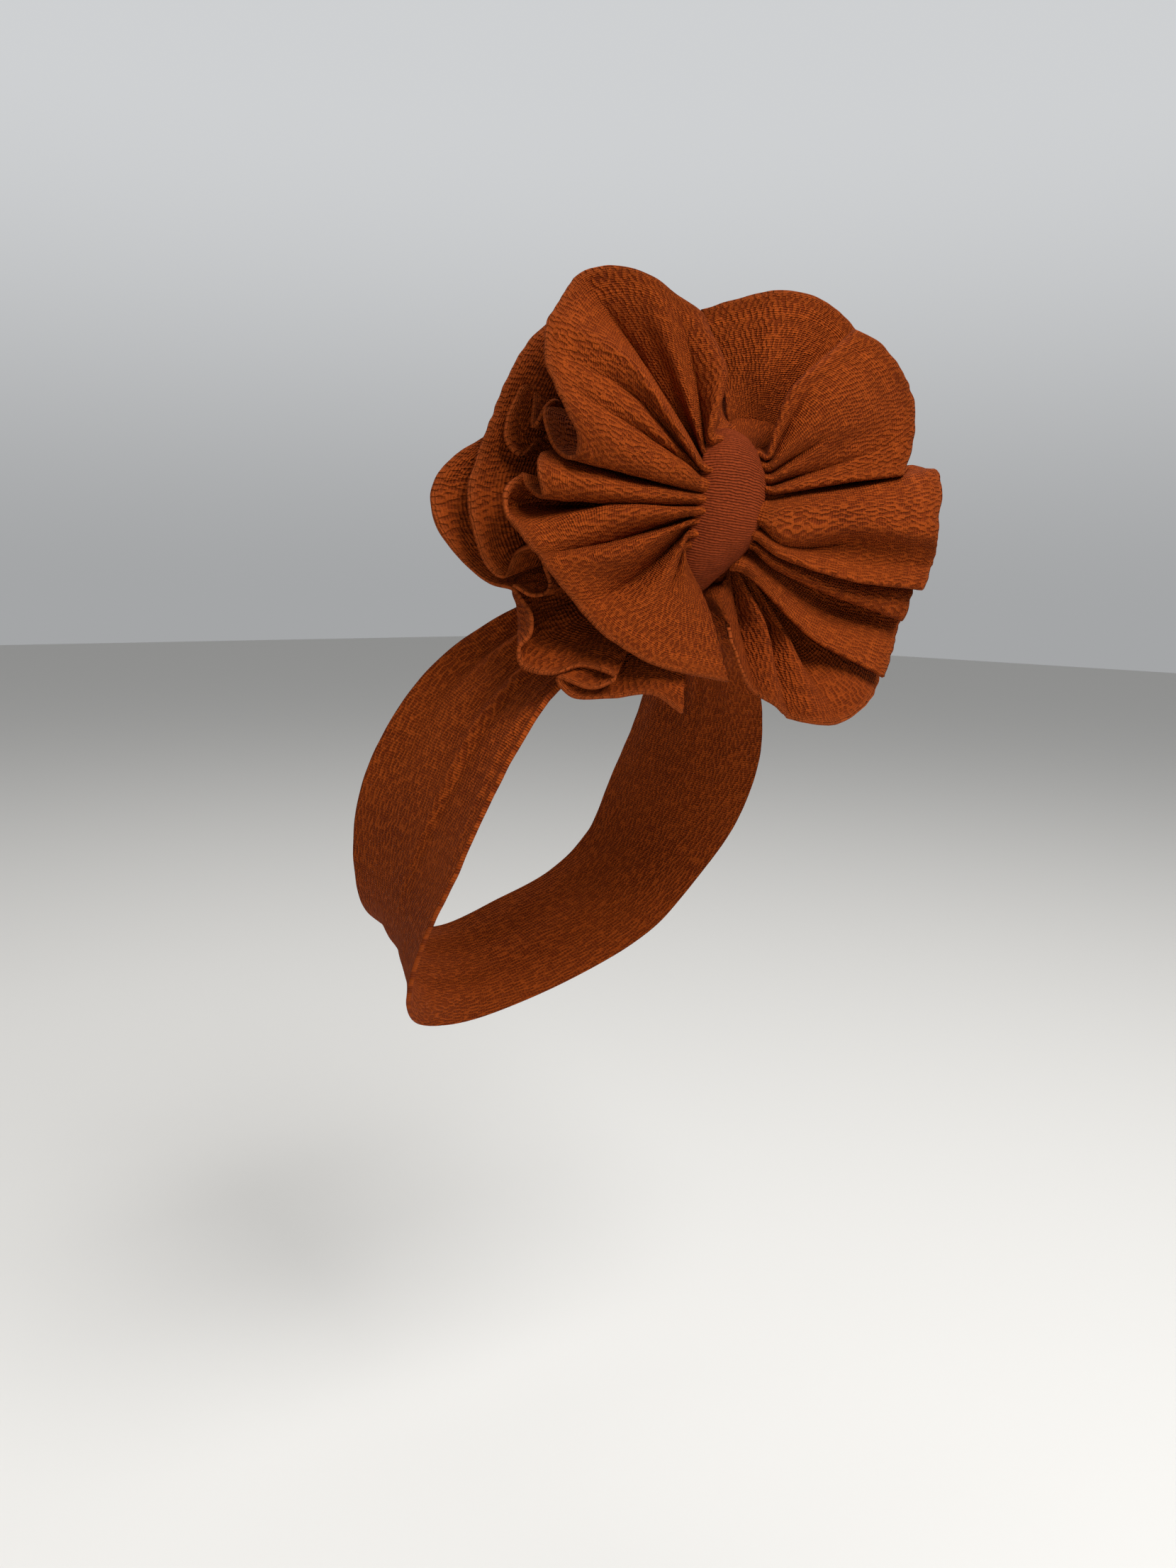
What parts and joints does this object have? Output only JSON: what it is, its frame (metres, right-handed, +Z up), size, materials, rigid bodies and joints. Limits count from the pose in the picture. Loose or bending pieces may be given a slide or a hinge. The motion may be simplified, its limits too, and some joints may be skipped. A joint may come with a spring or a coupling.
{
  "type": "head wrap",
  "caption": "Stretch-knit head wrap: a pleated band round the head with a large layered, ruffled bow gathered by a ribbed knot on the crown.",
  "frame": {"origin": "middle of the hollow that the head fills, which is where a head holds the wrap; no solid lies there", "axes": "+Z up as worn, the wearer faces -Y, +X is the wearer's left"},
  "size_m": [0.1582, 0.1618, 0.2621],
  "materials": {
    "rust_knit": "matt textured stretch knit, rust brown",
    "inner_knit": "the same knit in the bow's inner layers, rust brown",
    "rib_knit": "the knit's finer ribbed side, a redder brown"
  },
  "bodies": {
    "root": {"headband": "rust_knit", "knot_wrap": "rib_knit", "bow_front": "rust_knit", "bow_middle": "inner_knit", "bow_back": "inner_knit"}
  },
  "joints": []
}
